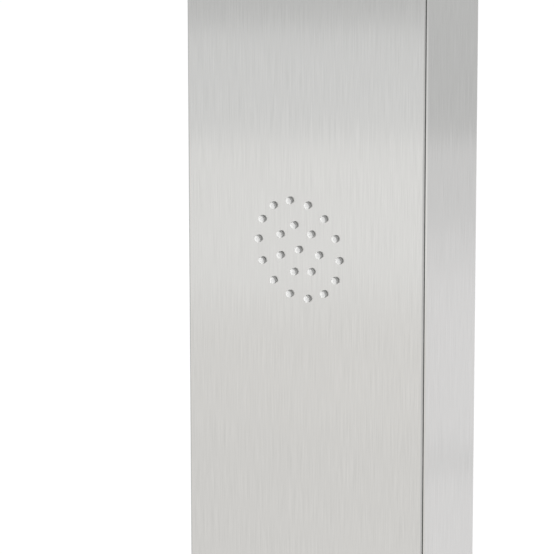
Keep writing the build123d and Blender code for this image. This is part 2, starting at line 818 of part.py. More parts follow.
with BuildPart() as lever_stem:
    with BuildSketch(handle_plane.offset(-stem_tail)):
        Rectangle(stem_width, stem_width)
    extrude(amount=stem_tail + stem_tip)
    fillet(lever_stem.edges().filter_by(Axis.X).group_by(Axis.Y)[-1], stem_round)
    with BuildSketch(Plane(pivot, z_dir=RIGHT)):
        Circle(lift_pin_radius + running_gap)
    extrude(amount=stem_width, both=True, mode=cut)
    turn(pivot, (handle_screw_radius, stem_bore_back, stem_tip), way=handle_way, mode=cut)
lever_stem.part.label = "lever_stem"
export_step(lever_stem.part, "parts/lever_stem.step")

handle_inside = dome_radius + handle_gap
rim_angle = radians(90 - handle_rim)
rim_point = (handle_inside * cos(rim_angle), handle_inside * sin(rim_angle))
with BuildPart() as mixer_handle:
    with BuildSketch(lathe(pivot, handle_way)):
        with BuildLine():
            Polyline(
                rim_point,
                (handle_radius, rim_point[1]),
                (handle_radius, handle_front),
                (0, handle_front),
                (0, handle_inside),
            )
            CenterArc((0, 0), handle_inside, 90 - handle_rim, handle_rim)
        make_face()
    revolve(axis=Axis(pivot, handle_way))
    front_rim = mixer_handle.edges().filter_by(GeomType.CIRCLE).sort_by(Axis(pivot, handle_way))[-1]
    fillet(front_rim, handle_edge)
    with BuildSketch(handle_plane.offset(lever_back)):
        with BuildLine():
            Polyline(
                (-lever_widths[0] / 2, -lever_root),
                (-lever_widths[1] / 2, -lever_length),
                (lever_widths[1] / 2, -lever_length),
                (lever_widths[0] / 2, -lever_root),
                close=True,
            )
        make_face()
    extrude(amount=lever_front - lever_back)
    lever_corners = mixer_handle.edges().filter_by(Axis(pivot, handle_way)).sort_by(Axis.Z)[:2]
    fillet(lever_corners, lever_end_round)
    with BuildSketch(handle_plane.offset(handle_inside - 1.0)):
        Rectangle(stem_width + 2 * running_gap, stem_width + 2 * running_gap)
    extrude(amount=stem_tip - handle_inside + 1.0 + running_gap, mode=cut)
    turn(
        pivot,
        (handle_screw_radius + end_gap, stem_tip, handle_screw_seat),
        (handle_screw_head + end_gap, handle_screw_seat, handle_plug_back),
        (handle_plug_radius + running_gap, handle_plug_back, handle_front),
        way=handle_way,
        mode=cut,
    )
mixer_handle.part.label = "mixer_handle"
export_step(mixer_handle.part, "parts/mixer_handle.step")

with BuildPart() as handle_screw:
    turn(
        pivot,
        (handle_screw_radius, stem_bore_back + 1.0, handle_screw_seat),
        (handle_screw_head, handle_screw_seat, handle_plug_back - end_gap),
        way=handle_way,
    )
handle_screw.part.label = "handle_screw"
export_step(handle_screw.part, "parts/handle_screw.step")

with BuildPart() as handle_plug:
    turn(pivot, (handle_plug_radius, handle_plug_back, handle_front + end_gap), way=handle_way)
handle_plug.part.label = "handle_plug"
export_step(handle_plug.part, "parts/handle_plug.step")

# The diverter, which sends the mixed water up to the head or across to the spray fields
diverter_centre = place(diverter_z, pipe_out)
diverter_port_radius = 2.4
spindle_back = 12.0
diverter_cartridge_back = 4.0
diverter_cartridge_front = 30.0
with BuildPart() as diverter_body:
    turn(
        place(diverter_z),
        (diverter_valve_radius, valve_back, inside_out),
        (diverter_neck, inside_out, neck_front),
    )
    valve_ports(diverter_centre, LEFT, UP, DOWN)
    valve_ports(diverter_centre, LEFT, UP, DOWN, mode=cut)
    turn(place(diverter_z), (pipe_bore, pipe_out, diverter_cartridge_back), mode=cut)
    turn(
        place(diverter_z),
        (diverter_cartridge_radius + running_gap, diverter_cartridge_back, neck_front),
        mode=cut,
    )
diverter_body.part.label = "diverter_body"
export_step(diverter_body.part, "parts/diverter_body.step")

with BuildPart() as diverter_cartridge:
    turn(place(diverter_z), (diverter_cartridge_radius, diverter_cartridge_back, diverter_cartridge_front))
    turn(
        place(diverter_z),
        (spindle_radius + running_gap, spindle_back - end_gap, diverter_cartridge_front),
        mode=cut,
    )
    with BuildSketch(facing(place(diverter_z, diverter_cartridge_back))):
        with PolarLocations(diverter_cartridge_radius / 2, 3, start_angle=90):
            Circle(diverter_port_radius)
    extrude(amount=cartridge_port_depth, mode=cut)
diverter_cartridge.part.label = "diverter_cartridge"
export_step(diverter_cartridge.part, "parts/diverter_cartridge.step")

with BuildPart() as diverter_nut:
    turn(place(diverter_z), (diverter_cartridge_radius, diverter_cartridge_front, neck_front))
    turn(place(diverter_z), (spindle_radius + neck_clearance, diverter_cartridge_front, neck_front), mode=cut)
diverter_nut.part.label = "diverter_nut"
export_step(diverter_nut.part, "parts/diverter_nut.step")

spindle_front = 49.0
grub_radius = 2.0
grub_length = 8.0
grub_out = 41.0
grub_socket_radius = 1.1
grub_socket_depth = 2.0
knob_round = 1.5
knob_hollow_front = neck_front + 1.0
pointer_inset = 5.5
pointer_radius = 1.5
pointer_depth = 0.6
with BuildPart() as diverter_spindle:
    turn(place(diverter_z), (spindle_radius, spindle_back, spindle_front))
diverter_spindle.part.label = "diverter_spindle"
export_step(diverter_spindle.part, "parts/diverter_spindle.step")

with BuildPart() as diverter_knob:
    turn(place(diverter_z), (knob_radius, knob_back, knob_disc))
    with BuildSketch(facing(place(diverter_z, knob_disc))):
        SlotOverall(2 * knob_radius - 1.0, knob_bar, rotation=90)
    extrude(amount=knob_front - knob_disc)
    fillet(diverter_knob.faces().sort_by(Axis.Y)[0].edges(), knob_round)
    turn(place(diverter_z), (diverter_neck + 1.5 * neck_clearance, knob_back, knob_hollow_front), mode=cut)
    turn(place(diverter_z), (spindle_radius, knob_hollow_front, spindle_front), mode=cut)
    with BuildSketch(Plane(place(diverter_z, grub_out), z_dir=DOWN)):
        Circle(grub_radius)
    extrude(amount=knob_radius, mode=cut)
    with BuildSketch(facing(place(diverter_z + knob_radius - pointer_inset, knob_front))):
        Circle(pointer_radius)
    extrude(amount=-pointer_depth, mode=cut)
diverter_knob.part.label = "diverter_knob"
export_step(diverter_knob.part, "parts/diverter_knob.step")

with BuildPart() as knob_grub_screw:
    with BuildSketch(Plane(place(diverter_z - spindle_radius, grub_out), z_dir=DOWN)):
        Circle(grub_radius)
    extrude(amount=grub_length)
    with BuildSketch(Plane(place(diverter_z - spindle_radius - grub_length, grub_out), z_dir=UP)):
        RegularPolygon(grub_socket_radius, 6)
    extrude(amount=grub_socket_depth, mode=cut)
knob_grub_screw.part.label = "knob_grub_screw"
export_step(knob_grub_screw.part, "parts/knob_grub_screw.step")

# The spigots through the front wall: a soldered tail, a thread and a clamping nut inside
spigot_tail = pipe_out + socket_floor
spigot_thread = 12.0
with BuildPart() as wall_spigots:
    for height in (arm_z, foot_tap_z):
        turn(
            place(height),
            (pipe_radius, spigot_tail, spigot_thread),
            (spigot_radius, spigot_thread, spigot_front),
        )
        turn(place(height), (spigot_bore, spigot_tail, spigot_front), mode=cut)
wall_spigots.part.label = "wall_spigots"
export_step(wall_spigots.part, "parts/wall_spigots.step")

backing_out = inside_out - backing_thickness
with BuildPart() as backing_plates:
    with BuildSketch(facing((0, -backing_out, 0))):
        with Locations((fittings_x, arm_z), (fittings_x, foot_tap_z)):
            RectangleRounded(*backing_size, backing_corner)
            Circle(spigot_radius + solder_gap, mode=cut)
    extrude(amount=backing_thickness)
backing_plates.part.label = "backing_plates"
export_step(backing_plates.part, "parts/backing_plates.step")

with BuildPart() as spigot_nuts:
    with BuildSketch(facing((0, -backing_out, 0))):
        with Locations((fittings_x, arm_z), (fittings_x, foot_tap_z)):
            RegularPolygon(spigot_nut_radius, 6)
            Circle(spigot_radius, mode=cut)
    extrude(amount=-spigot_nut_height)
spigot_nuts.part.label = "spigot_nuts"
export_step(spigot_nuts.part, "parts/spigot_nuts.step")

# The foot tap: a quarter-turn tap with a short spout
tap_seat = 70.0
tap_hex_front = 86.0
tap_spindle_seat = tap_seat + 4.0
tap_spindle_front = 99.0
headwork_radius = 10.0
rosette_round = 2.0
tap_handle_round = 2.0
tap_lever_back = tap_handle_back + 6.0
tap_lever_thickness = 8.0
aerator_bore = 6.5
aerator_grille = 2.0
aerator_hole = 1.3
aerator_hole_ring = 4.0
with BuildPart() as foot_tap_rosette:
    turn(place(foot_tap_z), (tap_rosette_radius, face_out, tap_rosette_front))
    fillet(foot_tap_rosette.faces().sort_by(Axis.Y)[0].edges(), rosette_round)
    turn(place(foot_tap_z), (tap_radius, face_out, tap_rosette_front), mode=cut)
foot_tap_rosette.part.label = "foot_tap_rosette"
export_step(foot_tap_rosette.part, "parts/foot_tap_rosette.step")

with BuildPart() as foot_tap_body:
    turn(place(foot_tap_z), (tap_radius, face_out, tap_front))
    with BuildSketch(Plane(place(foot_tap_z, spout_out), z_dir=DOWN)):
        Circle(spout_radius)
    extrude(amount=foot_tap_z - spout_end)
    turn(place(foot_tap_z), (spigot_radius + solder_gap, face_out, spigot_front), mode=cut)
    turn(place(foot_tap_z), (spout_bore, spigot_front, tap_seat), mode=cut)
    turn(place(foot_tap_z), (headwork_radius + solder_gap, tap_seat, tap_front), mode=cut)
    with BuildSketch(Plane(place(foot_tap_z, spout_out), z_dir=DOWN)):
        Circle(spout_bore)
    extrude(amount=foot_tap_z - spout_end, mode=cut)
foot_tap_body.part.label = "foot_tap_body"
export_step(foot_tap_body.part, "parts/foot_tap_body.step")

with BuildPart() as foot_tap_aerator:
    spout_line = (fittings_x, -spout_out, 0)
    turn(spout_line, (aerator_radius, aerator_bottom, aerator_top), way=UP)
    turn(spout_line, (spout_radius + solder_gap, spout_end, aerator_top), way=UP, mode=cut)
    turn(spout_line, (aerator_bore, aerator_bottom + aerator_grille, spout_end), way=UP, mode=cut)
    with BuildSketch(Plane(spout_line).offset(aerator_bottom)):
        with PolarLocations(aerator_hole_ring, 6):
            Circle(aerator_hole)
        Circle(aerator_hole)
    extrude(amount=aerator_grille, mode=cut)
foot_tap_aerator.part.label = "foot_tap_aerator"
export_step(foot_tap_aerator.part, "parts/foot_tap_aerator.step")

with BuildPart() as foot_tap_headwork:
    turn(place(foot_tap_z), (headwork_radius, tap_seat, tap_front))
    with BuildSketch(facing(place(foot_tap_z, tap_front))):
        RegularPolygon(tap_radius, 6)
    extrude(amount=tap_hex_front - tap_front)
    turn(place(foot_tap_z), (spindle_radius + running_gap, tap_spindle_seat, tap_hex_front), mode=cut)
foot_tap_headwork.part.label = "foot_tap_headwork"
export_step(foot_tap_headwork.part, "parts/foot_tap_headwork.step")

with BuildPart() as foot_tap_spindle:
    turn(place(foot_tap_z), (spindle_radius, tap_spindle_seat + end_gap, tap_spindle_front))
foot_tap_spindle.part.label = "foot_tap_spindle"
export_step(foot_tap_spindle.part, "parts/foot_tap_spindle.step")

with BuildPart() as foot_tap_handle:
    turn(place(foot_tap_z), (tap_handle_radius, tap_handle_back, tap_handle_front))
    fillet(foot_tap_handle.faces().sort_by(Axis.Y)[0].edges(), tap_handle_round)
    with BuildSketch(facing(place(foot_tap_z, tap_lever_back))):
        with Locations((0, tap_lever_length / 2)):
            SlotOverall(tap_lever_length, tap_lever_width, rotation=90)
    extrude(amount=tap_lever_thickness)
    turn(place(foot_tap_z), (spindle_radius, tap_handle_back, tap_spindle_front), mode=cut)
foot_tap_handle.part.label = "foot_tap_handle"
export_step(foot_tap_handle.part, "parts/foot_tap_handle.step")

# The overhead arm: a rectangular tube with a solid block at each end
rosette_thickness = 6.0
rosette_margin = 34.0
rosette_corner = 8.0
arm_corner = 3.0
arm_edge_round = 1.5
arm_gap = 0.1
with BuildPart() as arm_rosette:
    with BuildSketch(facing(place(arm_z, face_out))):
        RectangleRounded(arm_width + rosette_margin, arm_height + rosette_margin, rosette_corner)
    extrude(amount=rosette_thickness)
    fillet(arm_rosette.faces().sort_by(Axis.Y)[0].edges(), arm_edge_round)
    with BuildSketch(facing(place(arm_z, face_out))):
        RectangleRounded(arm_width + arm_gap, arm_height + arm_gap, arm_corner)
    extrude(amount=rosette_thickness, mode=cut)
arm_rosette.part.label = "arm_rosette"
export_step(arm_rosette.part, "parts/arm_rosette.step")

head_point = (fittings_x, -head_out, 0)
stem_thread = 8.0
stem_thread_top = ball_z + 42.0
stem_shoulder = ball_z + 20.0
arm_underside = ball_z + 30.0
stem_bore = 4.0
with BuildPart() as shower_arm:
    with BuildSketch(facing(place(arm_z, face_out))):
        RectangleRounded(arm_width, arm_height, arm_corner)
    extrude(amount=arm_length)
    with BuildSketch(facing(place(arm_z, face_out + arm_root_block))):
        RectangleRounded(arm_width - 2 * arm_wall, arm_height - 2 * arm_wall, arm_corner / 2)
    extrude(amount=arm_length - arm_root_block - arm_end_block, mode=cut)
    turn(place(arm_z), (spigot_radius + solder_gap, face_out, spigot_front), mode=cut)
    turn(place(arm_z), (spigot_bore, spigot_front, head_out), mode=cut)
    turn(head_point, (stem_thread + solder_gap, arm_underside, stem_thread_top), way=UP, mode=cut)
    fillet(shower_arm.faces().sort_by(Axis.Y)[0].edges(), arm_edge_round)
shower_arm.part.label = "shower_arm"
export_step(shower_arm.part, "parts/shower_arm.step")

# The ball joint: the ball on its stem, a liner round it and the nut that holds the head up
with BuildPart() as ball_stem:
    with Locations((fittings_x, -head_out, ball_z)):
        Sphere(ball_radius)
    turn(
        head_point,
        (ball_stem_radius, ball_z, stem_shoulder),
        (ball_radius, stem_shoulder, arm_underside),
        (stem_thread, arm_underside, stem_thread_top),
        way=UP,
    )
    turn(head_point, (stem_bore, ball_z - ball_radius, stem_thread_top), way=UP, mode=cut)
ball_stem.part.label = "ball_stem"
export_step(ball_stem.part, "parts/ball_stem.step")

liner_levels = (-8.0, 6.0)
with BuildPart() as ball_liner:
    with Locations((fittings_x, -head_out, ball_z)):
        Sphere(liner_outer)
        Sphere(ball_radius + running_gap, mode=cut)
    with BuildSketch(Plane.XY.offset(ball_z + liner_levels[0])):
        with Locations((fittings_x, -head_out)):
            Circle(liner_outer)
    extrude(amount=liner_levels[1] - liner_levels[0], mode=Mode.INTERSECT)
ball_liner.part.label = "ball_liner"
export_step(ball_liner.part, "parts/ball_liner.step")

hub_radius = 16.0
ball_nut_radius = 19.0
nut_bottom = ball_z - 10.0
nut_top = ball_z + 10.0
nut_equator = ball_z - end_gap
nut_edge_round = 1.5
nut_opening = 10.5
nut_opening_bottom = ball_z + 6.0
flute_ring = 20.2
flute_radius = 2.2
flute_height = 14.0
flute_count = 16
with BuildPart() as ball_nut:
    turn(head_point, (ball_nut_radius, nut_bottom, nut_top), way=UP)
    fillet(ball_nut.faces().sort_by(Axis.Z)[-1].edges(), nut_edge_round)
    with BuildSketch(Plane.XY.offset(nut_bottom)):
        with Locations((fittings_x, -head_out)):
            with PolarLocations(flute_ring, flute_count):
                Circle(flute_radius)
    extrude(amount=flute_height, mode=cut)
    turn(head_point, (hub_radius + solder_gap, nut_bottom, nut_equator), way=UP, mode=cut)
    with Locations((fittings_x, -head_out, ball_z)):
        Sphere(liner_outer + running_gap, mode=cut)
    turn(head_point, (nut_opening, nut_opening_bottom, nut_top), way=UP, mode=cut)
ball_nut.part.label = "ball_nut"
export_step(ball_nut.part, "parts/ball_nut.step")

# The square head: a folded shell with a hub, a face plate and a soft mat with its nozzles
face_thickness = 1.5
face_gap = 0.2
head_edge_round = 2.0
head_boss_radius = 4.0
head_inlet_radius = 5.0
head_inlet_bottom = head_bottom + 4.0
head_screw_radius = 1.5
head_screw_length = 6.0
head_screw_head = 2.8
head_screw_head_height = 1.6
head_mat_corner = 8.0
head_nozzle_taper = 3
head_orifice = 0.7
face_size = head_size - 2 * sheet - face_gap
head_screw_points = [(side * head_screw_place, end * head_screw_place) for side in (-1, 1) for end in (-1, 1)]
with BuildPart() as head_shell:
    with BuildSketch(Plane(head_point).offset(head_bottom)):
        RectangleRounded(head_size, head_size, head_corner)
    extrude(amount=head_height)
    fillet(head_shell.faces().sort_by(Axis.Z)[-1].edges(), head_edge_round)
    with BuildSketch(Plane(head_point).offset(head_bottom)):
        RectangleRounded(head_size - 2 * sheet, head_size - 2 * sheet, head_corner - sheet)
    extrude(amount=head_height - sheet, mode=cut)
    turn(head_point, (hub_radius, head_top, nut_equator - face_gap), way=UP)
    with BuildSketch(Plane(head_point).offset(head_bottom + face_thickness)):
        with Locations(*head_screw_points):
            Circle(head_boss_radius)
    extrude(amount=head_height - sheet - face_thickness)
    with Locations((fittings_x, -head_out, ball_z)):
        Sphere(liner_outer + running_gap, mode=cut)
    turn(head_point, (head_inlet_radius, head_inlet_bottom, ball_z), way=UP, mode=cut)
    with BuildSketch(Plane(head_point).offset(head_bottom)):
        with Locations(*head_screw_points):
            Circle(head_screw_radius)
    extrude(amount=head_screw_length, mode=cut)
head_shell.part.label = "head_shell"
export_step(head_shell.part, "parts/head_shell.step")

with BuildPart() as head_face_plate:
    with BuildSketch(Plane(head_point).offset(head_bottom)):
        RectangleRounded(face_size, face_size, head_corner - sheet)
        with GridLocations(head_nozzle_pitch, head_nozzle_pitch, head_nozzles, head_nozzles):
            Circle(head_nozzle_hole, mode=cut)
        with Locations(*head_screw_points):
            Circle(head_screw_radius + face_gap, mode=cut)
    extrude(amount=face_thickness)
head_face_plate.part.label = "head_face_plate"
export_step(head_face_plate.part, "parts/head_face_plate.step")

with BuildPart() as head_spray_mat:
    with BuildSketch(Plane(head_point).offset(head_bottom + face_thickness)):
        RectangleRounded(head_mat, head_mat, head_mat_corner)
    extrude(amount=mat_thickness)
    with BuildSketch(Plane(head_point).offset(head_bottom + face_thickness)):
        with GridLocations(head_nozzle_pitch, head_nozzle_pitch, head_nozzles, head_nozzles):
            Circle(head_nozzle_hole - face_gap / 2)
    extrude(amount=-face_thickness - head_nozzle_reach, taper=head_nozzle_taper)
    with BuildSketch(Plane(head_point).offset(head_bottom - head_nozzle_reach)):
        with GridLocations(head_nozzle_pitch, head_nozzle_pitch, head_nozzles, head_nozzles):
            Circle(head_orifice)
    extrude(amount=head_nozzle_reach + face_thickness + mat_thickness, mode=cut)
head_spray_mat.part.label = "head_spray_mat"
export_step(head_spray_mat.part, "parts/head_spray_mat.step")

with BuildPart() as head_screws:
    with BuildSketch(Plane(head_point).offset(head_bottom - head_screw_head_height)):
        with Locations(*head_screw_points):
            Circle(head_screw_head)
    extrude(amount=head_screw_head_height)
    with BuildSketch(Plane(head_point).offset(head_bottom)):
        with Locations(*head_screw_points):
            Circle(head_screw_radius)
    extrude(amount=head_screw_length)
head_screws.part.label = "head_screws"
export_step(head_screws.part, "parts/head_screws.step")
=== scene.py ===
import json
from math import cos, pi, radians, sin

import bpy
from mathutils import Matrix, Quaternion, Vector


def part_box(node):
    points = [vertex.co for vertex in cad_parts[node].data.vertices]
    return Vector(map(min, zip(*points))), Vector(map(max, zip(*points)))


# The looks of an outdoor shower: a brushed steel column with fields of soft spray nozzles,
# its satin fittings, and a pale studio round it. Lengths are in metres unless a name says mm.

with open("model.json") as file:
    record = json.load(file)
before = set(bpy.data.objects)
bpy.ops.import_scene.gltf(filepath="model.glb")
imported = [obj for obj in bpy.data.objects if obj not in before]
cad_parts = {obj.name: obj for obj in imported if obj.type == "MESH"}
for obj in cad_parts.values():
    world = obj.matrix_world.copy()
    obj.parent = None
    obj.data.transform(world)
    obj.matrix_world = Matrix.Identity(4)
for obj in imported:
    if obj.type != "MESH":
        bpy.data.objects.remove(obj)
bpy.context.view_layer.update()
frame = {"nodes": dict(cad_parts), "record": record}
nodes = frame["nodes"]
mm = 0.001

# The camera, as fitted to the photograph's edges and its nozzles
photo_size = 554
camera_azimuth = radians(38.14)
camera_elevation = radians(21.305)
camera_roll = radians(-0.095)
camera_distance = 4.23
camera_target = Vector((-0.0241, -0.0275, 1.5361))
camera_lens_mm = 413.57
camera_sensor_mm = 36.0


# Small helpers for node trees


def node(tree, kind, sockets=None, **settings):
    """A node with its own settings, and its input sockets set to values or linked to outputs."""
    made = tree.nodes.new(kind)
    for name, value in settings.items():
        setattr(made, name, value)
    for name, value in (sockets or {}).items():
        if isinstance(value, bpy.types.NodeSocket):
            tree.links.new(value, made.inputs[name])
        else:
            made.inputs[name].default_value = value
    return made


def maths(tree, operation, first, second=0.0, third=0.0):
    """The output of a Math node of up to three values or sockets."""
    made = node(tree, "ShaderNodeMath", {0: first, 1: second, 2: third}, operation=operation)
    return made.outputs[0]


def remap(tree, value, low, high, to_low, to_high):
    """A value carried from one range to another, and held at its ends."""
    made = node(
        tree,
        "ShaderNodeMapRange",
        {"Value": value, "From Min": low, "From Max": high, "To Min": to_low, "To Max": to_high},
    )
    return made.outputs["Result"]


def blend_colours(tree, share, first, second):
    """The first colour where share is 0 and the second where it is 1."""
    made = node(tree, "ShaderNodeMix", {0: share, 6: first, 7: second}, data_type="RGBA")
    return made.outputs[2]


def new_group(name, inputs, outputs):
    """An empty shader group with float inputs, a vector named Point first, and named outputs."""
    tree = bpy.data.node_groups.new(name, "ShaderNodeTree")
    tree.interface.new_socket(name="Point", in_out="INPUT", socket_type="NodeSocketVector")
    for socket, default in inputs.items():
        made = tree.interface.new_socket(name=socket, in_out="INPUT", socket_type="NodeSocketFloat")
        made.default_value = default
    for socket, kind in outputs.items():
        tree.interface.new_socket(name=socket, in_out="OUTPUT", socket_type=kind)
    given = tree.nodes.new("NodeGroupInput").outputs
    result = tree.nodes.new("NodeGroupOutput").inputs
    return tree, given, result


# Effects that more than one finish uses


def grain_group():
    """Fine parallel streaks along the point's Z, some long and faint, some short and sharp."""
    tree, given, result = new_group(
        "brushed_grain",
        {"Across mm": 0.3, "Along mm": 20.0},
        {"Streaks": "NodeSocketFloat", "Bands": "NodeSocketFloat"},
    )
    across = maths(tree, "DIVIDE", 1000.0, given["Across mm"])
    along = maths(tree, "DIVIDE", 1000.0, given["Along mm"])
    scale = node(tree, "ShaderNodeCombineXYZ", {0: across, 1: across, 2: along}).outputs[0]
    fine = node(tree, "ShaderNodeVectorMath", {0: given["Point"], 1: scale}, operation="MULTIPLY")
    streaks = node(
        tree,
        "ShaderNodeTexNoise",
        {"Vector": fine.outputs[0], "Scale": 1.0, "Detail": 4.0, "Roughness": 0.7},
    )
    wider = (0.11, 0.11, 0.3)
    wide = node(tree, "ShaderNodeVectorMath", {0: fine.outputs[0], 1: wider}, operation="MULTIPLY")
    bands = node(
        tree,
        "ShaderNodeTexNoise",
        {"Vector": wide.outputs[0], "Scale": 1.0, "Detail": 2.0, "Roughness": 0.5},
    )
    tree.links.new(streaks.outputs["Fac"], result["Streaks"])
    tree.links.new(bands.outputs["Fac"], result["Bands"])
    return tree


def marks_group():
    """Soft smudges as from hands and wiping, and small dried drops, both from 0 to 1."""
    tree, given, result = new_group(
        "handling_marks",
        {"Smudge mm": 90.0, "Drop mm": 14.0},
        {"Smudges": "NodeSocketFloat", "Drops": "NodeSocketFloat"},
    )
    smudge_starts, smudge_full = 0.38, 0.68
    drop_radius, drop_rim = 0.2, 0.04
    share_of_dry_cells = 0.86
    smudge_scale = maths(tree, "DIVIDE", 1000.0, given["Smudge mm"])
    cloud = node(
        tree,
        "ShaderNodeTexNoise",
        {
            "Vector": given["Point"],
            "Scale": smudge_scale,
            "Detail": 4.0,
            "Roughness": 0.55,
            "Distortion": 0.6,
        },
    )
    smudges = remap(tree, cloud.outputs["Fac"], smudge_starts, smudge_full, 0.0, 1.0)
    tree.links.new(smudges, result["Smudges"])
    drop_scale = maths(tree, "DIVIDE", 1000.0, given["Drop mm"])
    cells = node(tree, "ShaderNodeTexVoronoi", {"Vector": given["Point"], "Scale": drop_scale})
    rim = maths(tree, "ABSOLUTE", maths(tree, "SUBTRACT", cells.outputs["Distance"], drop_radius))
    ring = remap(tree, rim, 0.0, drop_rim, 1.0, 0.0)
    chosen = node(tree, "ShaderNodeSeparateColor", {0: cells.outputs["Color"]}).outputs[0]
    wet = maths(tree, "GREATER_THAN", chosen, share_of_dry_cells)
    tree.links.new(maths(tree, "MULTIPLY", ring, wet), result["Drops"])
    return tree


def turned_group():
    """The point of a turned piece, from its place about an axis along Z: radius, height and arc length."""
    tree, given, result = new_group("turned_point", {}, {"Turned": "NodeSocketVector"})
    parts = node(tree, "ShaderNodeSeparateXYZ", {0: given["Point"]}).outputs
    second_square = maths(tree, "MULTIPLY", parts[1], parts[1])
    radius = maths(tree, "SQRT", maths(tree, "MULTIPLY_ADD", parts[0], parts[0], second_square))
    arc = maths(tree, "MULTIPLY", maths(tree, "ARCTAN2", parts[1], parts[0]), radius)
    made = node(tree, "ShaderNodeCombineXYZ", {0: radius, 1: parts[2], 2: arc})
    tree.links.new(made.outputs[0], result["Turned"])
    return tree


def speckle_group():
    """The pebbled skin of a moulded piece, and slow changes of its tone."""
    tree, given, result = new_group(
        "moulded_skin",
        {"Pebble mm": 0.4},
        {"Pebbles": "NodeSocketFloat", "Tone": "NodeSocketFloat"},
    )
    tone_to_pebble = 0.02
    scale = maths(tree, "DIVIDE", 1000.0, given["Pebble mm"])
    spots = {"Vector": given["Point"], "Scale": scale}
    pebbles = node(tree, "ShaderNodeTexVoronoi", spots, feature="SMOOTH_F1")
    tone = node(
        tree,
        "ShaderNodeTexNoise",
        {"Vector": given["Point"], "Scale": maths(tree, "MULTIPLY", scale, tone_to_pebble), "Detail": 3.0},
    )
    tree.links.new(pebbles.outputs["Distance"], result["Pebbles"])
    tree.links.new(tone.outputs["Fac"], result["Tone"])
    return tree


grain = grain_group()
marks = marks_group()
turned = turned_group()
skin = speckle_group()


def use_group(tree, group, sockets):
    """Places a shared group in a material and returns its outputs."""
    return node(tree, "ShaderNodeGroup", sockets, node_tree=group).outputs


def grain_point(tree, way, centre):
    """Object coordinates from a centre, turned so that Z is the way of the grain or of the turning axis."""
    place = node(tree, "ShaderNodeTexCoord").outputs["Object"]
    moved = node(tree, "ShaderNodeVectorMath", {0: place, 1: centre}, operation="SUBTRACT").outputs[0]
    x, y, z = node(tree, "ShaderNodeSeparateXYZ", {0: moved}).outputs
    order = {"X": (y, z, x), "Y": (z, x, y), "Z": (x, y, z)}[way]
    return node(tree, "ShaderNodeCombineXYZ", dict(enumerate(order))).outputs[0]


def new_material(name):
    """A material with its node tree and its Principled shader."""
    made = bpy.data.materials.new(name)
    made.use_nodes = True
    return made, made.node_tree, made.node_tree.nodes["Principled BSDF"]


def shade(colour, factor):
    """A colour made darker or lighter, with its alpha."""
    return tuple(min(1.0, c * factor) for c in colour) + (1.0,)


def wire(tree, shader, colour, roughness, height, depth_mm):
    """Feeds the shader's colour and roughness, and its normal from a height of that many millimetres."""
    tree.links.new(colour, shader.inputs["Base Color"])
    tree.links.new(roughness, shader.inputs["Roughness"])
    bump = node(tree, "ShaderNodeBump", {"Height": height, "Strength": 1.0, "Distance": depth_mm * mm})
    tree.links.new(bump.outputs["Normal"], shader.inputs["Normal"])


# Most of a noise lies between these values
noise_low, noise_high = 0.3, 0.7
quarter_turn = 0.25
sheet_waves = 8.0
smudge_finish = 0.08
rubber_wobble = 0.04


def metal(
    name,
    colour,
    rough,
    way="Z",
    centre=(0.0, 0.0, 0.0),
    is_turned=False,
    across=0.35,
    along=25.0,
    stretch=0.6,
    depth_mm=0.002,
    contrast=0.06,
    smudge=0.04,
    drops=0.0,
    stain=None,
    bands=0.5,
    wave_mm=0.0,
    wobble=0.05,
):
    """A metal with streaks along a way, or round a turning axis, faint smudges and dried drops."""
    made, tree, shader = new_material(name)
    shader.inputs["Metallic"].default_value = 1.0
    shader.inputs["Anisotropic"].default_value = stretch
    point = grain_point(tree, way, centre)
    worn = use_group(tree, marks, {"Point": point})
    if is_turned:
        # the lines of a turned piece run round it, so its shine spreads out from its axis
        point = use_group(tree, turned, {"Point": point})["Turned"]
        shader.inputs["Anisotropic Rotation"].default_value = quarter_turn
    tangent = node(tree, "ShaderNodeTangent", direction_type="RADIAL", axis=way)
    tree.links.new(tangent.outputs[0], shader.inputs["Tangent"])
    brushed = use_group(tree, grain, {"Point": point, "Across mm": across, "Along mm": along})
    streaks = maths(tree, "MULTIPLY", brushed["Streaks"], 1 - bands)
    lines = maths(tree, "MULTIPLY_ADD", brushed["Bands"], bands, streaks)
    share = remap(tree, lines, noise_low, noise_high, 0.0, 1.0)
    base = blend_colours(tree, share, shade(colour, 1 - contrast), shade(colour, 1 + contrast))
    stained = shade(stain, 1.0) if stain else shade(colour, 0.9)
    base = blend_colours(tree, maths(tree, "MULTIPLY", worn["Smudges"], smudge * 2), base, stained)
    roughness = remap(tree, lines, noise_low, noise_high, rough - wobble, rough + wobble)
    roughness = maths(tree, "MULTIPLY_ADD", worn["Smudges"], smudge, roughness)
    roughness = maths(tree, "MULTIPLY_ADD", worn["Drops"], drops, roughness)
    height = brushed["Streaks"]
    if wave_mm:
        # a long sheet isn't quite flat
        wave = node(tree, "ShaderNodeTexNoise", {"Vector": point, "Scale": sheet_waves, "Detail": 1.0})
        height = maths(tree, "MULTIPLY_ADD", wave.outputs["Fac"], wave_mm / depth_mm, height)
    wire(tree, shader, base, roughness, height, depth_mm)
    return made


def moulded(name, colour, rough, pebble=0.4, depth_mm=0.01, variation=0.06):
    """A moulded rubber or plastic, with a pebbled skin and slow changes of tone."""
    made, tree, shader = new_material(name)
    point = grain_point(tree, "Z", (0.0, 0.0, 0.0))
    look = use_group(tree, skin, {"Point": point, "Pebble mm": pebble})
    worn = use_group(tree, marks, {"Point": point, "Smudge mm": 25.0})
    base = blend_colours(tree, look["Tone"], shade(colour, 1 - variation), shade(colour, 1 + variation))
    roughness = remap(tree, look["Tone"], noise_low, noise_high, rough - rubber_wobble, rough + rubber_wobble)
    roughness = maths(tree, "MULTIPLY_ADD", worn["Smudges"], smudge_finish, roughness)
    wire(tree, shader, base, roughness, look["Pebbles"], depth_mm)
    return made


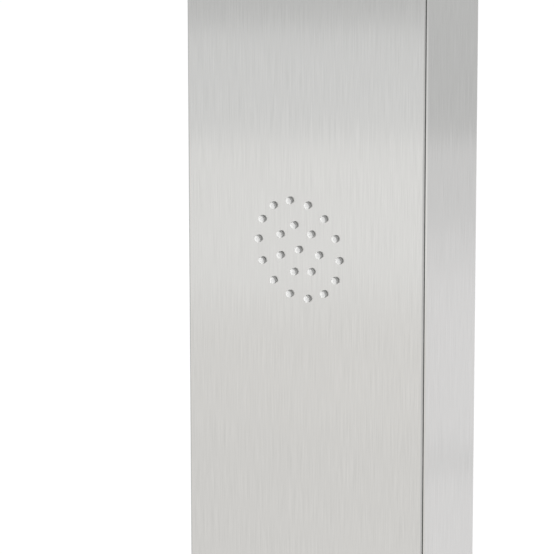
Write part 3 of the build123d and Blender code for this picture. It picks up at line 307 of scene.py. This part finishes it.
def middle(name):
    """The middle of a CAD node's box."""
    low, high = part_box(name)
    return (low + high) / 2


# The finishes

steel = (0.462, 0.462, 0.455)
fitting_steel = (0.5, 0.5, 0.495)
mill_steel = (0.44, 0.44, 0.44)
tube_steel = (0.52, 0.52, 0.53)
pale_rubber = (0.83, 0.83, 0.82)
brass = (0.62, 0.47, 0.22)
dull_brass = (0.38, 0.24, 0.1)

sheet_look = {"stretch": 1.0, "across": 0.5, "along": 34.0, "bands": 0.06, "smudge": 0.01, "wobble": 0.02}
brushed_upright = metal("brushed_steel_upright", steel, 0.16, contrast=0.095, wave_mm=0.02, **sheet_look)
brushed_flat = metal("brushed_steel_flat", steel, 0.2, way="X", contrast=0.03, drops=0.05, **sheet_look)
satin_look = {"stretch": 0.3, "across": 0.25, "along": 4.0}
brass_wear = {"smudge": 0.2, "stain": dull_brass}
satin_look |= {"depth_mm": 0.001, "contrast": 0.02, "wobble": 0.03}
finishes = {
    "brushed_steel": brushed_upright,
    "satin_steel": metal("satin_steel", fitting_steel, 0.19, **satin_look),
    "plain_steel": metal("mill_steel", mill_steel, 0.42, stretch=0.2, across=1.2, along=6.0, smudge=0.1),
    "screw_steel": metal("screw_steel", (0.52, 0.52, 0.52), 0.28, stretch=0.1, across=0.2, along=0.6),
    "pipe_steel": metal("pipe_steel", tube_steel, 0.3, stretch=0.3, across=0.4, along=30.0, smudge=0.06),
    "raw_brass": metal("raw_brass", brass, 0.3, stretch=0.2, along=4.0, across=0.4, **brass_wear),
    "spray_rubber": moulded("spray_rubber", pale_rubber, 0.5, pebble=0.25, depth_mm=0.004, variation=0.02),
    "black_rubber": moulded("black_rubber", (0.03, 0.03, 0.03), 0.6, pebble=0.3),
    "chamber_plastic": moulded("chamber_plastic", (0.07, 0.07, 0.075), 0.45, pebble=0.6),
    "valve_plastic": moulded("valve_plastic", (0.75, 0.75, 0.73), 0.4, pebble=0.3),
}


def satin_about(name, way):
    """Satin steel that was turned about a way through the middle of a piece."""
    return metal(
        f"turned_satin_{name}",
        fitting_steel,
        0.19,
        way=way,
        centre=middle(name),
        is_turned=True,
        across=0.15,
        along=30.0,
        stretch=0.4,
        contrast=0.03,
        wobble=0.03,
    )


own_finish = {
    "top_cap": brushed_flat,
    "base_plate": brushed_flat,
    "diverter_knob": satin_about("diverter_knob", "Y"),
    "mixer_dome": satin_about("mixer_dome", "Y"),
    "foot_tap_rosette": satin_about("foot_tap_rosette", "Y"),
    "ball_nut": satin_about("ball_nut", "Z"),
    "foot_tap_headwork": finishes["satin_steel"],
}


def dress(piece, material):
    """Gives a piece its material in each of its slots."""
    if not piece.material_slots:
        piece.data.materials.append(material)
    for slot in piece.material_slots:
        slot.material = material


for row in frame["record"]["subparts"]:
    name = row["node"]
    dress(nodes[name], own_finish.get(name, finishes[row["material_slot"]]))


# The studio


def studio_light(tree, seen, cast):
    """A strength: one value for camera, mirror and clear rays, and another for the light that it casts."""
    path = node(tree, "ShaderNodeLightPath").outputs
    either = maths(tree, "MAXIMUM", path["Is Camera Ray"], path["Is Glossy Ray"])
    either = maths(tree, "MAXIMUM", either, path["Is Transmission Ray"])
    return remap(tree, either, 0.0, 1.0, cast, seen)


def make_world(seen, cast):
    """A white surround that lights the object softly."""
    world = bpy.data.worlds.new("studio")
    bpy.context.scene.world = world
    world.use_nodes = True
    tree = world.node_tree
    background = tree.nodes["Background"]
    background.inputs["Color"].default_value = (1.0, 1.0, 1.0, 1.0)
    tree.links.new(studio_light(tree, seen, cast), background.inputs["Strength"])


def make_floor(size, shine, paint):
    """A pale floor that looks white where it is lit and keeps the shower's shadow."""
    bpy.ops.mesh.primitive_plane_add(size=size, location=(0.0, 0.0, -0.0005))
    floor = bpy.context.object
    floor.name = "studio_floor"
    made = bpy.data.materials.new("studio_floor")
    made.use_nodes = True
    tree = made.node_tree
    tree.nodes.clear()
    matt = node(tree, "ShaderNodeBsdfDiffuse", {"Color": (paint, paint, paint, 1.0)})
    strength = studio_light(tree, shine, 0.0)
    glow = node(tree, "ShaderNodeEmission", {"Color": (1.0, 1.0, 1.0, 1.0), "Strength": strength})
    both = node(tree, "ShaderNodeAddShader", {0: matt.outputs[0], 1: glow.outputs[0]})
    node(tree, "ShaderNodeOutputMaterial", {"Surface": both.outputs[0]})
    floor.data.materials.append(made)


def make_sun(towards, strength, angle):
    """A wide soft sun that gives the floor its light and the shower its shadow."""
    data = bpy.data.lights.new("sun", "SUN")
    data.energy = strength
    data.angle = radians(angle)
    lamp = bpy.data.objects.new("sun", data)
    bpy.context.scene.collection.objects.link(lamp)
    lamp.rotation_mode = "QUATERNION"
    lamp.rotation_quaternion = Vector(towards).to_track_quat("Z", "Y")
    lamp.visible_glossy = False


white = (1.0, 1.0, 1.0)


def make_soft_box(name, place, aim, width, height, radiance, matt=True, tint=white, shift=(0.0, 0.0)):
    """A soft box that faces a point: one that lights matt surfaces, or one that only metal mirrors."""
    data = bpy.data.lights.new(name, "AREA")
    data.shape = "RECTANGLE"
    data.size = width
    data.size_y = height
    data.energy = radiance * pi * width * height
    data.color = tint
    lamp = bpy.data.objects.new(name, data)
    bpy.context.scene.collection.objects.link(lamp)
    lamp.rotation_mode = "QUATERNION"
    lamp.rotation_quaternion = (Vector(place) - Vector(aim)).to_track_quat("Z", "Y")
    lamp.location = Vector(place) + lamp.rotation_quaternion @ Vector((*shift, 0.0))
    lamp.visible_glossy = not matt
    lamp.visible_diffuse = matt


mirror_width = 1.6
mirror_away = 1.43
mirror_shift = 0.52
row_rise = 0.000889
side, up = camera_azimuth, camera_elevation


def make_mirrored_strip(name, aim, way, top_row, bottom_row, radiance, tint):
    """A soft box whose mirror image in a wall of the column spans those rows of the photograph."""
    place = Vector(aim) + mirror_away * Vector(way)
    height = (bottom_row - top_row) * row_rise
    shift = (mirror_shift, (photo_size - top_row - bottom_row) / 2 * row_rise)
    make_soft_box(name, place, aim, mirror_width, height, radiance, matt=False, tint=tint, shift=shift)


front_aim, side_aim = camera_target, (0.1, 0.0, camera_target.z)
front_way = (-sin(side) * cos(up), -cos(side) * cos(up), -sin(up))
side_way = (sin(side) * cos(up), cos(side) * cos(up), -sin(up))

make_world(seen=1.0, cast=0.4)
make_floor(size=60.0, shine=0.68, paint=0.5)
make_sun(towards=(-0.55, 0.35, 0.76), strength=1.2, angle=12.0)
make_soft_box("key_box", (-1.3, -1.7, 1.15), (0.0, 0.0, 1.5), width=0.9, height=0.9, radiance=14.5)

# Strips that only the metal mirrors, set for the main view and not for the others. Each has
# its name, the wall that mirrors it, the rows it spans there, its strength and its tint.
side_tint = (1.04, 1.0, 1.03)
low_tint = (1.06, 1.0, 0.93)
wall_strips = (
    ("front_top", front_aim, front_way, 27, 140, 0.31, white),
    ("front_middle", front_aim, front_way, 140, 292, 0.52, (1.02, 1.0, 0.97)),
    ("front_edge", front_aim, front_way, 292, 325, 0.43, (1.04, 1.0, 0.95)),
    ("front_low", front_aim, front_way, 325, 430, 0.38, low_tint),
    ("front_foot", front_aim, front_way, 430, 900, 0.34, low_tint),
    ("front_fade", front_aim, front_way, 900, 1150, 0.24, (1.04, 1.0, 0.96)),
    ("front_faint", front_aim, front_way, 1150, 1500, 0.12, (1.02, 1.0, 0.98)),
    ("side_top", side_aim, side_way, 120, 210, 0.23, side_tint),
    ("side_edge", side_aim, side_way, 210, 252, 0.33, side_tint),
    ("side_middle", side_aim, side_way, 252, 424, 0.41, side_tint),
    ("side_dip", side_aim, side_way, 424, 454, 0.29, side_tint),
    ("side_low", side_aim, side_way, 454, 900, 0.41, side_tint),
    ("side_fade", side_aim, side_way, 900, 1150, 0.27, side_tint),
    ("side_faint", side_aim, side_way, 1150, 1500, 0.13, (1.02, 1.0, 1.01)),
)
for strip in wall_strips:
    make_mirrored_strip(*strip)


# The camera


def make_camera():
    """The photograph's camera: far off, to the right of the front and above the nozzles."""
    data = bpy.data.cameras.new("camera")
    data.lens = camera_lens_mm
    data.sensor_width = camera_sensor_mm
    data.clip_end = 200.0
    camera = bpy.data.objects.new("camera", data)
    bpy.context.scene.collection.objects.link(camera)
    back = Vector((sin(side) * cos(up), -cos(side) * cos(up), sin(up)))
    camera.location = camera_target + back * camera_distance
    camera.rotation_mode = "QUATERNION"
    roll = Quaternion((0.0, 0.0, 1.0), camera_roll)
    camera.rotation_quaternion = (-back).to_track_quat("-Z", "Y") @ roll
    bpy.context.scene.camera = camera


make_camera()
bpy.context.scene.view_settings.view_transform = "Standard"
